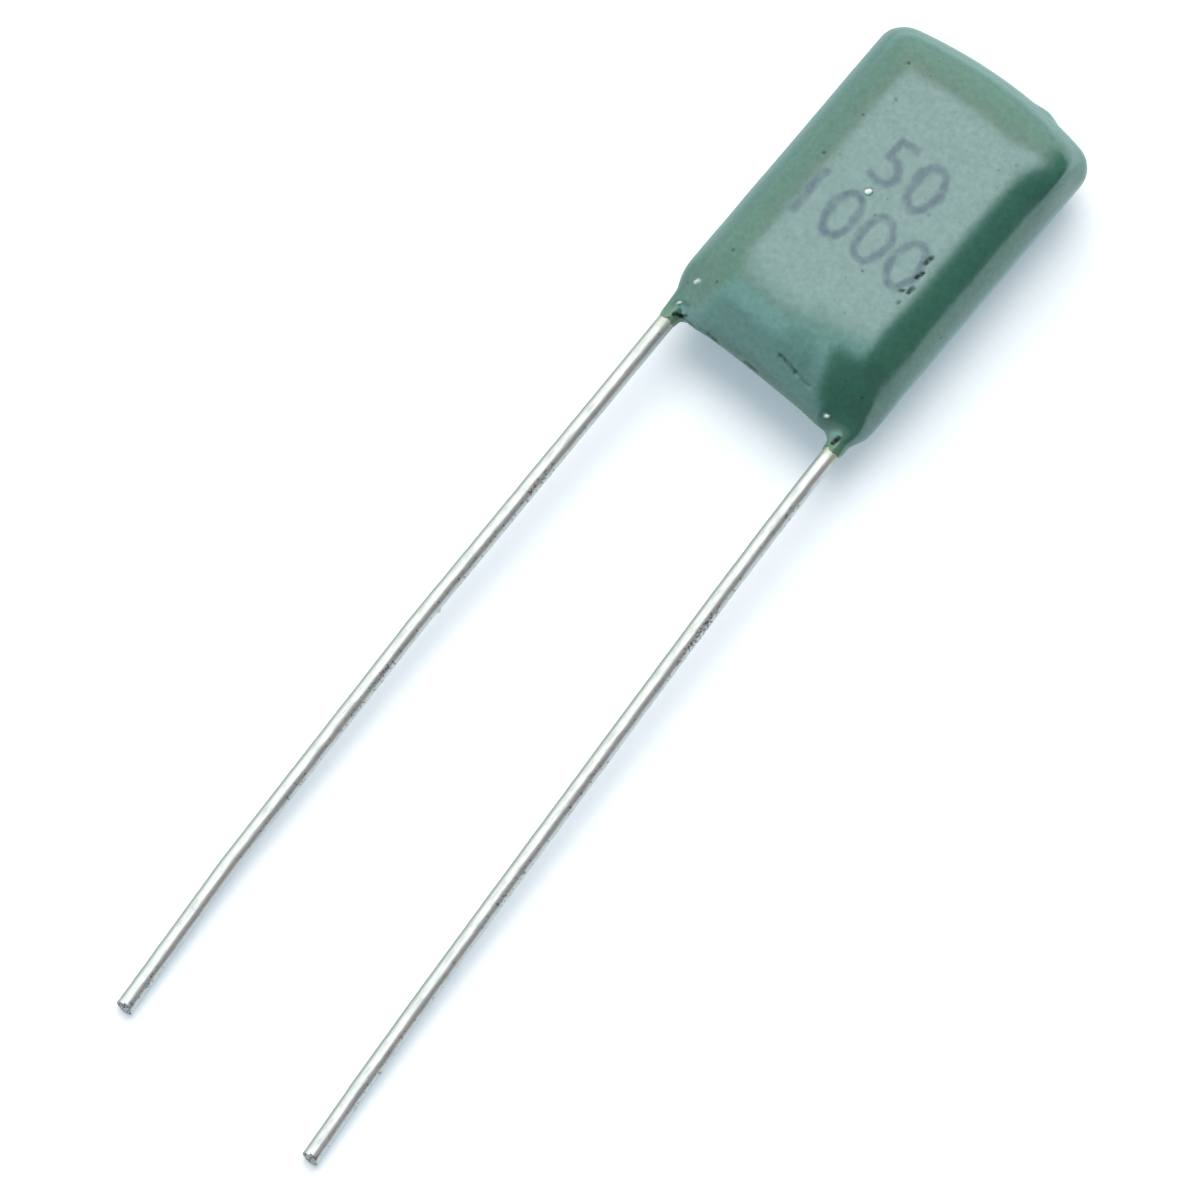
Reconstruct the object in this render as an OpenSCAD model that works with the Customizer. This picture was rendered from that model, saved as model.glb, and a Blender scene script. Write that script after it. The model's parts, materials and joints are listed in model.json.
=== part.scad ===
// Polyester film capacitor: a flattened film and foil winding with two wire leads, dipped in epoxy.
// It lies on its back. X runs across the body, Y along it away from the leads, Z up.
// The origin is the middle of the back flat, on the surface the part lies on. Sizes are in millimetres.

/* [Body] */
// Width of the coated body, across the leads
body_w = 7.0; // [6.8:0.1:10]
// Height of the coated body, from the lip between the leads to the crown of the top edge
body_h = 10.85; // [8:0.05:16]
// Thickness of the coated body, from back flat to front flat
body_t = 3.3; // [2.8:0.1:4.2]
// How far each side rounds over, from its widest line in to the flat
side_round = 1.4; // [1.2:0.05:1.8]
// How far the top end rounds over, from the top edge in to the flat
top_round = 1.75; // [1.3:0.05:2]
// How far the lead end rounds over, from the lip in to the flat
lip_round = 2.4; // [1.9:0.05:2.6]
// How gently that rounding leaves the flat: 1 is a plain ellipse, less is gentler
lip_ease = 0.8; // [0.6:0.05:1]
// How far the ends of the top edge hang below its crown
top_crown = 0.48; // [0:0.02:0.6]
// How much higher the top edge is at the right side than at the left
top_rise = 0.26; // [-0.4:0.02:0.4]

/* [Corners] */
// Outline radius at the top left
top_left_r = 0.65; // [0.4:0.05:1.2]
// Outline radius at the top right
top_right_r = 0.6; // [0.4:0.05:1.2]
// Outline radius beside the left lead
foot_left_r = 1.2; // [0.5:0.05:1.4]
// Outline radius beside the right lead
foot_right_r = 0.55; // [0.5:0.05:1.4]
// Corner radius of the front and back flats
flat_r = 0.35; // [0.2:0.05:0.7]

/* [Feet] */
// How far the lip is drawn down towards each lead
sag = 0.45; // [0.2:0.05:0.6]
// Distance from a lead at which that draw has fallen to half
sag_half = 0.5; // [0.4:0.05:0.8]
// How far above the lip that draw reaches
sag_reach = 1.6; // [1.2:0.1:2]
// How much of the body's thickness is lost towards a lead, at the lip
pinch = 0.6; // [0:0.05:0.7]
// Distance from a lead, across the body, at which that loss has fallen to half
pinch_half = 1.0; // [0.6:0.05:1.4]
// How far the epoxy runs down each lead, below the lip
foot_len = 0.56; // [0.4:0.02:1.2]
// Thickness of the epoxy round a lead where it ends
foot_wall = 0.04; // [0.03:0.01:0.1]
// How much a foot widens from its end up to its root
foot_flare = 0.08; // [0.04:0.01:0.12]
// How far a foot's root reaches up into the body
foot_root = 0.6; // [0.3:0.05:0.8]

/* [Winding] */
// Epoxy over the flats of the winding
face_coat_t = 0.3; // [0.25:0.05:0.5]
// Epoxy over the folded edges of the winding
edge_coat_t = 0.22; // [0.2:0.01:0.26]
// Epoxy from the winding to the crown of the top edge
top_coat_t = 1.3; // [1.2:0.05:1.6]
// Epoxy from the winding to the lip
lip_coat_t = 1.6; // [1.5:0.05:1.9]
// Gap left in the middle of the winding where its mandrel was drawn out
core_gap = 0.1; // [0.05:0.01:0.2]

/* [Leads] */
// Diameter of the lead wire
lead_d = 0.5; // [0.4:0.05:0.55]
// Distance between the leads at the body
lead_pitch = 5.93; // [5.2:0.01:6]
// How far the pair of leads sits to the right of the body's middle
lead_shift = 0.035; // [-0.05:0.005:0.05]
// Radius of the bend where a lead leaves its foot
exit_bend_r = 1.5; // [1:0.1:3]
// Thickness of the paddle pressed on the inner end of a lead
paddle_t = 0.25; // [0.15:0.01:0.3]
// Width of that paddle
paddle_w = 0.8; // [0.6:0.05:0.9]
// Length of that paddle inside the winding
paddle_len = 4.8; // [3:0.1:5.5]
// Round wire inside the winding before the paddle takes over
neck_len = 0.4; // [0.2:0.05:0.8]

/* [Left lead] */
// Sideways turn of the left lead where it leaves its foot, in degrees
left_swing_deg = 0.55; // [-5:0.05:5]
// Straight stretch from the foot to the first bend
left_near = 10.8; // [5:0.1:15]
// Angle of the first bend, in degrees
left_bend_1_deg = 1.1; // [0.5:0.1:5]
// Straight stretch between the bends
left_mid = 8.0; // [3:0.1:12]
// Angle of the second bend, in degrees
left_bend_2_deg = 2.2; // [0.5:0.1:5]
// Straight stretch from the second bend to the end
left_far = 4.85; // [3:0.05:12]
// Radius of both bends
left_bend_r = 10; // [4:0.5:12]

/* [Right lead] */
// Sideways turn of the right lead where it leaves its foot, in degrees
right_swing_deg = 3.3; // [-5:0.05:5]
// Straight stretch from the foot to the end
right_len = 24.2; // [10:0.1:30]

/* [Hidden] */
$fn = 48;
lead_r = lead_d / 2;
half_t = body_t / 2;
half_w = body_w / 2;
left_x = lead_shift - lead_pitch / 2;
right_x = lead_shift + lead_pitch / 2;
flat_mid_y = (lip_round + body_h - top_round) / 2;
winding_w = body_w - 2 * edge_coat_t;
winding_t = body_t - 2 * face_coat_t;
winding_h = body_h - top_coat_t - lip_coat_t;
core_w = winding_w - winding_t;
foot_end_r = lead_r + foot_wall;
fall = half_t - lead_r;
left_turned = left_bend_1_deg + left_bend_2_deg;
left_reach = left_near + left_bend_r * sin(left_turned)
    + left_mid * cos(left_bend_1_deg) + left_far * cos(left_turned);
left_droop = droop_over(left_reach, left_swing_deg);
right_droop = droop_over(right_len, right_swing_deg);
bore_past = 1;
levels = 24;
corner_steps = 9;
lip_steps = 36;
top_steps = 14;
side_steps = 4;
ring_n = 4 * (corner_steps + 1) + (lip_steps - 1) + (top_steps - 1) + 2 * (side_steps - 1);

// Angle a lead turns through as it leaves its foot
function exit_angle(swing, droop) = acos(cos(swing) * cos(droop));

// Downward slope that brings the end of a lead onto the surface, with the exit bend counted in
function droop_over(reach, swing) =
    let (near = asin(fall / reach))
    asin(fall / (reach + exit_bend_r * tan(exit_angle(swing, near) / 2)));

// Points of a quarter turn of radius r round c, starting at angle a
function corner(c, r, a) =
    [for (i = [0:corner_steps]) c + r * [cos(a + 90 * i / corner_steps), sin(a + 90 * i / corner_steps)]];

// Points strictly between p and q
function edge(p, q, n) = [for (i = [1:n - 1]) p + (q - p) * i / n];

// A corner radius, grown from the flat's corner to the outline's as the skin opens from 0 to 1
function grown(r, open) = flat_r + (r - flat_r) * open;

// The rounded rectangle the skin follows at one height
function plan(open) =
    let (
        w = half_w - side_round * (1 - open),
        low = lip_round * (1 - pow(open, lip_ease)),
        high = body_h - top_round * (1 - open),
        bl = grown(foot_left_r, open),
        br = grown(foot_right_r, open),
        tr = grown(top_right_r, open),
        tl = grown(top_left_r, open)
    )
    concat(
        corner([bl - w, low + bl], bl, 180),
        edge([bl - w, low], [w - br, low], lip_steps),
        corner([w - br, low + br], br, 270),
        edge([w, low + br], [w, high - tr], side_steps),
        corner([w - tr, high - tr], tr, 0),
        edge([w - tr, high], [tl - w, high], top_steps),
        corner([tl - w, high - tl], tl, 90),
        edge([-w, high - tl], [-w, low + bl], side_steps)
    );

// How far the bowed and tilted top edge moves a point, none below mid-height
function bowed(p) =
    max(0, 2 * p.y / body_h - 1) * (top_rise * p.x / body_w - top_crown * pow(p.x / half_w, 2));

// How strongly a lead at x pulls on a point of the lip
function pull(p, x) = 1 / (1 + (pow(p.x - x, 2) + pow(p.z - half_t, 2)) / pow(sag_half, 2));

// The wet epoxy's draw towards both leads, fading out above the lip
function drawn(p) = sag * pow(max(0, 1 - p.y / sag_reach), 2) * (pull(p, left_x) + pull(p, right_x));

// How strongly a lead at x thins the body at a point, across the body only
function thinning(p, x) = 1 / (1 + pow((p.x - x) / pinch_half, 2));

// The share of the thickness that is left at a point, all of it from the flats up
function thinned(p) =
    1 - pinch * pow(max(0, 1 - p.y / lip_round), 2) * (thinning(p, left_x) + thinning(p, right_x));

// A point of the skin, with the bow of the top edge, the draw of the lip and the pinch towards the leads
function skin_point(p, z) =
    let (q = [p.x, p.y + bowed(p), half_t + (z - half_t) * thinned(p)])
    [q.x, q.y - drawn(q), q.z];

// One ring of the skin: each side is a half ellipse from the back flat to the front flat
function ring(k) =
    let (turn = 180 * k / levels)
    [for (p = plan(sin(turn))) skin_point(p, half_t * (1 - cos(turn)))];

// The outer skin as a loft through its rings, closed by a fan over each flat
module skin() {
    flat_mid = [0, flat_mid_y];
    points = [
        for (k = [0:levels])
            each ring(k),
        [flat_mid.x, flat_mid.y, 0],
        [flat_mid.x, flat_mid.y, body_t]
    ];
    last = levels * ring_n;
    back_mid = last + ring_n;
    front_mid = back_mid + 1;
    faces = [
        for (i = [0:ring_n - 1])
            let (j = (i + 1) % ring_n)
            each [
                [back_mid, i, j],
                [front_mid, last + j, last + i],
                for (a = [0:ring_n:last - 1])
                    each [
                        [a + i, a + ring_n + j, a + j],
                        [a + i, a + ring_n + i, a + ring_n + j]
                    ]
            ]
    ];
    polyhedron(points = points, faces = faces, convexity = 4);
}

// Epoxy that has run down a lead at x
module foot(x) {
    translate([x, -foot_len, half_t])
        rotate([-90, 0, 0])
            cylinder(r1 = foot_end_r, r2 = foot_end_r + foot_flare, h = foot_len + foot_root);
}

// The space the winding fills: two flats joined by folded edges
module winding_block() {
    translate([lead_shift, lip_coat_t + winding_h, half_t])
        rotate([90, 0, 0])
            linear_extrude(height = winding_h) {
                square([core_w, winding_t], center = true);
                translate([-core_w / 2, 0])
                    circle(d = winding_t);
                translate([core_w / 2, 0])
                    circle(d = winding_t);
            }
}

// The part of a lead inside the body, running past the foot's end by a length
module lead_core(x, past) {
    translate([x, lip_coat_t + neck_len, half_t])
        rotate([90, 0, 0])
            cylinder(r = lead_r, h = lip_coat_t + neck_len + foot_len + past);
    translate([x - paddle_t / 2, lip_coat_t, half_t - paddle_w / 2])
        cube([paddle_t, paddle_len, paddle_w]);
}

// A straight stretch of wire along -Y
module straight(length) {
    rotate([90, 0, 0])
        cylinder(r = lead_r, h = length);
}

// A bend from -Y towards +X, rolled about Y, with what follows set at its end
module bend(radius, angle, roll) {
    rotate([0, roll, 0]) {
        translate([radius, 0, 0])
            rotate([0, 0, 180])
                rotate_extrude(angle = angle)
                    translate([radius, 0])
                        circle(r = lead_r);
        translate([radius * (1 - cos(angle)), -radius * sin(angle), 0])
            rotate([0, 0, angle])
                rotate([0, -roll, 0])
                    children();
    }
}

// The bend where a lead leaves its foot: sideways by swing and down by droop
module exit_bend(x, swing, droop) {
    translate([x, -foot_len, half_t])
        bend(exit_bend_r, exit_angle(swing, droop), atan2(sin(droop), sin(swing) * cos(droop)))
            children();
}

module coating() {
    color("#2f6e62")
        translate([0, -flat_mid_y, 0])
            difference() {
                union() {
                    skin();
                    foot(left_x);
                    foot(right_x);
                }
                winding_block();
                lead_core(left_x, bore_past);
                lead_core(right_x, bore_past);
            }
}

module winding() {
    color("#c9cdc6")
        translate([0, -flat_mid_y, 0])
            difference() {
                winding_block();
                translate([lead_shift, lip_coat_t + winding_h / 2, half_t])
                    cube([core_w, winding_h + bore_past, core_gap], center = true);
                lead_core(left_x, bore_past);
                lead_core(right_x, bore_past);
            }
}

module lead_left() {
    color("#b9bab4")
        translate([0, -flat_mid_y, 0]) {
            lead_core(left_x, 0);
            exit_bend(left_x, left_swing_deg, left_droop) {
                straight(left_near);
                translate([0, -left_near, 0])
                    bend(left_bend_r, left_bend_1_deg, 0) {
                        straight(left_mid);
                        translate([0, -left_mid, 0])
                            bend(left_bend_r, left_bend_2_deg, 0)
                                straight(left_far);
                    }
            }
        }
}

module lead_right() {
    color("#b9bab4")
        translate([0, -flat_mid_y, 0]) {
            lead_core(right_x, 0);
            exit_bend(right_x, right_swing_deg, right_droop)
                straight(right_len);
        }
}

coating();
winding();
lead_left();
lead_right();
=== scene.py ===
"""Dipped film capacitor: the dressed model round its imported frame, laid out as an add-on."""

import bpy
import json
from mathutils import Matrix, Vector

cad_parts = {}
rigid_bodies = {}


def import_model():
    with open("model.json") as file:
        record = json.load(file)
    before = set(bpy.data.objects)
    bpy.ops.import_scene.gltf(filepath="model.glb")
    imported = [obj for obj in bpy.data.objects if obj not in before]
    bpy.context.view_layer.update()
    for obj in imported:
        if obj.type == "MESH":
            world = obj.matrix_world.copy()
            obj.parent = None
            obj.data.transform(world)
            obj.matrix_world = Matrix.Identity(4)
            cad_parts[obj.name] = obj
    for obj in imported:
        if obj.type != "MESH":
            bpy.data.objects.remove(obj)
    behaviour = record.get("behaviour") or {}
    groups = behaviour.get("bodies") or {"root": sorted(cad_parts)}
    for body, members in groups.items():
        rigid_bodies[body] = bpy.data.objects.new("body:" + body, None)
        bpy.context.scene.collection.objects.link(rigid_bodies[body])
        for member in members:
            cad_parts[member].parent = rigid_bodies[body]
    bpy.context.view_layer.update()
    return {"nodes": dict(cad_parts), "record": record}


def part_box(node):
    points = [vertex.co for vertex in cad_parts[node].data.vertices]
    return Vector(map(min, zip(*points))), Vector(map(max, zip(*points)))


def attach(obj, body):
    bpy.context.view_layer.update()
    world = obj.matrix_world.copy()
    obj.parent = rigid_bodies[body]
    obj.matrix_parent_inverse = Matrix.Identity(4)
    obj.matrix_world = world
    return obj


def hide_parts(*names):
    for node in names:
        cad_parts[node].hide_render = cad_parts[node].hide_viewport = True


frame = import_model()

import json
import math

import bpy
from mathutils import Vector, geometry, noise
from mathutils.bvhtree import BVHTree
from mathutils.kdtree import KDTree

bl_info = {
    "name": "Dipped film capacitor",
    "version": (1, 0, 0),
    "blender": (4, 5, 0),
    "location": "3D View > Sidebar > Capacitor",
    "description": "Dresses the packed capacitor: epoxy dip, tinned leads, ink figures and a plain stage",
    "category": "Object",
}

# Pieces are modelled in millimetres and brought to metres when they are done
MM = 0.001
MOUNTS = {mount["name"]: mount for mount in frame["record"]["mounts"]}
LEAD_R = MOUNTS["right_lead"]["dims"]["r_mm"]


def box_mm(node):
    """Lowest and highest corner of a CAD node, in millimetres."""
    low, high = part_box(node)
    return Vector(low) / MM, Vector(high) / MM


COAT_LOW, COAT_HIGH = box_mm("coating")
HALF_T = (COAT_LOW.z + COAT_HIGH.z) / 2
LEAD_X = {side: box_mm("lead_" + side)[0].x + LEAD_R for side in ("left", "right")}


def linear(hex_colour):
    """An sRGB hex colour as linear red, green, blue and alpha."""
    parts = [int(hex_colour[i:i + 2], 16) / 255 for i in (1, 3, 5)]
    return tuple(c / 12.92 if c <= 0.04045 else ((c + 0.055) / 1.055) ** 2.4 for c in parts) + (1.0,)


def colour(name, description, hex_colour):
    """A colour property with its default written as sRGB hex."""
    return bpy.props.FloatVectorProperty(
        name=name, description=description, subtype="COLOR", size=4, min=0, max=1,
        default=linear(hex_colour))


def length(name, description, millimetres):
    """A length property with its default written in millimetres."""
    return bpy.props.FloatProperty(
        name=name, description=description, unit="LENGTH", precision=6, default=millimetres * MM)


def spot(name, description, *millimetres):
    """A place or a shift property with its default written in millimetres."""
    return bpy.props.FloatVectorProperty(
        name=name, description=description, subtype="TRANSLATION", unit="LENGTH",
        default=[part * MM for part in millimetres])


def direction(name, description, *parts):
    """A direction property."""
    return bpy.props.FloatVectorProperty(
        name=name, description=description, subtype="DIRECTION", default=parts)


def amount(name, description, default):
    """A strength or share property that can't be negative."""
    return bpy.props.FloatProperty(name=name, description=description, default=default, min=0)


class CoatingSettings(bpy.types.PropertyGroup):
    skin_grid: length("Skin grid", "Size of the even grid that the skin is laid over", 0.0525)
    swell_size: length("Swell size", "Width of the slow swells in the skin", 2.6)
    swell_height: length("Swell height", "Height of the slow swells in the skin", 0.03)
    peel_size: length("Peel size", "Width of the orange peel in the skin", 0.55)
    peel_height: length("Peel height", "Height of the orange peel in the skin", 0.004)
    pillow: bpy.props.IntProperty(
        name="Pillow", description="How often the front face is smoothed into a pillow", default=120, min=0)
    fullness: amount("Fullness", "How far the shoulder and the lower left are filled up to the flat", 0.75)
    lip_out: length("Lip out", "How far the lip between the leads is drawn out", 0.2)
    lip_up: length("Lip up", "How far that lip is lifted", 0.03)
    lip_under: length("Lip underside", "How far the underside of that lip is drawn in", 0.45)
    hollow: length("Hollow", "Depth of the hollow beside the right foot", 0.22)
    drip_size: length("Drip size", "Width of the tongues that the epoxy ends in on a lead", 0.3)
    drip_length: length("Drip length", "Length of those tongues", 0.4)
    drip_reach: length("Drip reach", "Height above a foot's end at which the tongues have died out", 0.4)
    green_deep: colour("Deep green", "Epoxy where the dip is thickest", "#2c6155")
    green_thin: colour("Thin green", "Epoxy where the dip is thinnest", "#356e5b")
    green_end: colour("Green end", "Epoxy where it thins out on the leads", "#7a9a6c")
    # Grime also stands for painted shade: in pits, pinholes, the crease and along the lip's edge
    grime_and_shade: colour("Grime", "Dirt that is held in pits and pinholes", "#16241d")
    # A painted highlight on the beads, where they would catch the light
    glint_paint: colour("Chip", "Pale chips and beads in the skin", "#ecf8f4")


class LeadSettings(bpy.types.PropertyGroup):
    ring_step: length("Ring step", "Distance between the rings of a wire", 0.1)
    sides: bpy.props.IntProperty(
        name="Sides", description="Number of faces round a wire", default=32, min=12)
    buried: length("Buried", "Length of wire that is hidden in the foot", 0.5)
    left_bend: spot("First bend", "Where the left lead first bends", -2.86, -17.275, 1.0187)
    bow: length("Bow", "How far the right lead bows to the left of straight", 0.115)
    burr: spot("Burr", "Where a burr stands on the left lead", -2.59, -16.6, 1.05)
    burr_height: spot("Burr height", "How far and which way that burr stands out", 0.07, 0.0, 0.03)
    burr_reach: length("Burr reach", "How far round that burr the wire is drawn out with it", 0.09)
    shear: bpy.props.FloatProperty(
        name="Shear", description="Tilt of the sheared end of a lead", subtype="ANGLE",
        default=math.radians(13))
    uneven: length("Unevenness", "Height of the waves that drawing and handling left", 0.014)
    uneven_size: length("Unevenness size", "Width of those waves", 0.45)
    tin: colour("Tin", "Bright tinned surface of the wire", "#f1e9e8")
    # Dull tin is also painted on the flanks, as painted shade
    dull_and_shade: colour("Dull tin", "Oxidised stretches of the wire", "#9a9c9a")
    speck: colour("Specks", "Black specks in the tin", "#333432")
    film: colour("Film", "Thin epoxy film on the wire beside its foot", "#b2bd9e")
    torn: colour("Torn metal", "Dark of the ridges on a sheared end", "#3a3b39")


class MarkingSettings(bpy.types.PropertyGroup):
    line_1: bpy.props.StringProperty(
        name="Upper line", description="Figures of the upper line", default="50")
    line_2: bpy.props.StringProperty(
        name="Lower line", description="Figures of the lower line", default="1000")
    figure_height: length("Figure height", "Height of the figures", 1.63)
    wobble: length("Wobble", "How far the stamp's edges stray", 0.07)
    wobble_size: length("Wobble size", "Width of those strays", 0.5)
    wobble_seed: bpy.props.IntProperty(
        name="Wobble seed", description="Which way the strays fall, the same in each run", default=1, min=1)
    blur: length("Blur", "How far the ink has bled at its edges", 0.04)
    ink: colour("Ink", "Stamped ink, thin and worn", "#0f4560")


class WindingSettings(bpy.types.PropertyGroup):
    film: colour("Film", "Polyester film over the foil", "#c2c6bf")
    turn: colour("Turn", "Edges of the film's turns", "#d2d5cf")


class StageSettings(bpy.types.PropertyGroup):
    azimuth: bpy.props.FloatProperty(
        name="Azimuth", description="Direction of the camera round the part", subtype="ANGLE",
        default=math.radians(39.51))
    elevation: bpy.props.FloatProperty(
        name="Elevation", description="Height of the camera above the horizon", subtype="ANGLE",
        default=math.radians(76.5))
    distance: length("Distance", "Distance from the camera to the point it looks at", 276.87)
    look: spot("Look at", "Point that the camera looks at", 0.62, -13.48, 1.0)
    floor: colour("Floor", "White paper that the part lies on", "#f2f3f3")
    floor_mirrored: colour("Mirrored floor", "The same paper as the gloss mirrors it", "#b8b7b4")
    mirrored_glow: colour("Mirrored glow", "Cool light of the paper as the gloss mirrors it", "#bdecf8")
    floor_glow: colour("Floor glow", "Cool light that the paper takes from all round", "#cde9ff")
    glow_level: amount("Glow level", "Strength of the paper's cool light", 0.3)
    glow_mirrored: amount("Mirrored glow level", "How much stronger that light is when mirrored", 2.4)
    # A painted contact shadow in what the gloss mirrors beside the body's left edge
    edge_shadow_level: amount("Edge level", "Share of the mirrored light kept beside the body's left edge", 0.75)
    key: colour("Key light", "Light from behind the part on its left", "#fffdfa")
    key_from: direction("Key from", "Where the key light comes from", -0.3, 0.45, 0.84)
    key_level: amount("Key level", "Strength of the key light", 5.3)
    fill: colour("Fill light", "Light from all other sides", "#fffdff")
    fill_level: amount("Fill level", "Strength of the fill light", 0.36)
    mirrored: colour("Bright wall", "What the gloss mirrors on the part's left", "#eafff6")
    mirrored_front: colour("Front wall", "What the gloss mirrors beyond the leads", "#d0f4ff")
    mirrored_dim: colour("Dim wall", "What the gloss mirrors on the part's right", "#505655")
    mirrored_box: colour("Light box", "What the flat face mirrors", "#dcecff")
    mirror_level: amount("Wall level", "Brightness of the walls that the gloss mirrors", 1.3)
    box_from: direction("Box from", "Where the light box stands", -0.135, 0.26, 0.956)
    box_level: amount("Box level", "How much brighter the light box is than the walls", 2.34)


class CapacitorSettings(bpy.types.PropertyGroup):
    coating: bpy.props.PointerProperty(type=CoatingSettings)
    leads: bpy.props.PointerProperty(type=LeadSettings)
    marking: bpy.props.PointerProperty(type=MarkingSettings)
    winding: bpy.props.PointerProperty(type=WindingSettings)
    stage: bpy.props.PointerProperty(type=StageSettings)


def start_clean():
    """Object mode with nothing selected."""
    if bpy.context.object and bpy.context.object.mode != "OBJECT":
        bpy.ops.object.mode_set(mode="OBJECT")
    bpy.ops.object.select_all(action="DESELECT")


def take(piece):
    """Makes a piece the only selected and the active object."""
    start_clean()
    piece.select_set(True)
    bpy.context.view_layer.objects.active = piece


def pick(piece, kind, test):
    """Selects the polygons or vertices of a mesh that pass a test, then goes into edit mode."""
    take(piece)
    mesh = piece.data
    for items in (mesh.vertices, mesh.edges, mesh.polygons):
        items.foreach_set("select", [False] * len(items))
    bpy.context.tool_settings.mesh_select_mode = (kind == "vertices", False, kind == "polygons")
    items = getattr(mesh, kind)
    items.foreach_set("select", [bool(test(item)) for item in items])
    bpy.ops.object.mode_set(mode="EDIT")


def coax(piece, shift, reach, place):
    """Moves the surface at a place by a shift, and what is round it less and less out to a reach."""
    nearest = min(piece.data.vertices, key=lambda v: (v.co - Vector(place)).length_squared).index
    pick(piece, "vertices", lambda v: v.index == nearest)
    bpy.ops.transform.translate(
        value=shift, use_proportional_edit=True, use_proportional_connected=True,
        proportional_edit_falloff="SMOOTH", proportional_size=reach)
    bpy.ops.object.mode_set(mode="OBJECT")


def apply(piece, kind, **settings):
    """Adds a modifier with its settings and applies it."""
    modifier = piece.modifiers.new(kind.title(), kind)
    for name, value in settings.items():
        setattr(modifier, name, value)
    take(piece)
    bpy.ops.object.modifier_apply(modifier=modifier.name)


def fade(value, start, stop):
    """0 before start and 1 past stop, with a soft run between."""
    share = min(1, max(0, (value - start) / (stop - start)))
    return share * share * (3 - 2 * share)


def press(piece, axis, height, weigh):
    """Moves the surface along an axis by a height, times the weight that a rule gives each vertex."""
    group = piece.vertex_groups.new(name="press")
    for vertex in piece.data.vertices:
        weight = weigh(vertex)
        if weight > 0.001:
            group.add([vertex.index], min(1, weight), "REPLACE")
    apply(piece, "DISPLACE", direction=axis, mid_level=0.0, strength=height, vertex_group=group.name)
    piece.vertex_groups.clear()


def finish_piece(piece, name, slot, material, *nodes):
    """Brings a piece from millimetres to metres and puts it in place of its CAD nodes."""
    take(piece)
    piece.name = piece.data.name = name
    piece.scale = (MM, MM, MM)
    bpy.ops.object.transform_apply(location=True, rotation=True, scale=True)
    bpy.ops.object.shade_smooth_by_angle(angle=math.radians(40))
    piece.data.materials.clear()
    piece.data.materials.append(material)
    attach(piece, "root")
    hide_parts(*nodes)


def add_node(tree, kind, inputs=None, **settings):
    """Adds a node with its settings, and with values or other nodes' sockets on its inputs."""
    node = tree.nodes.new(kind)
    for name, value in settings.items():
        setattr(node, name, value)
    for name, value in (inputs or {}).items():
        if isinstance(value, bpy.types.NodeSocket):
            tree.links.new(value, node.inputs[name])
        else:
            node.inputs[name].default_value = value
    return node


def new_material(name):
    """An empty node material with its output, and Object coordinates in millimetres."""
    material = bpy.data.materials.new(name)
    material.use_nodes = True
    tree = material.node_tree
    tree.nodes.clear()
    output = add_node(tree, "ShaderNodeOutputMaterial")
    coords = add_node(tree, "ShaderNodeTexCoord")
    place = add_node(
        tree, "ShaderNodeMapping",
        {"Vector": coords.outputs["Object"], "Scale": (1 / MM, 1 / MM, 1 / MM)})
    return material, tree, output, place.outputs["Vector"]


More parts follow.
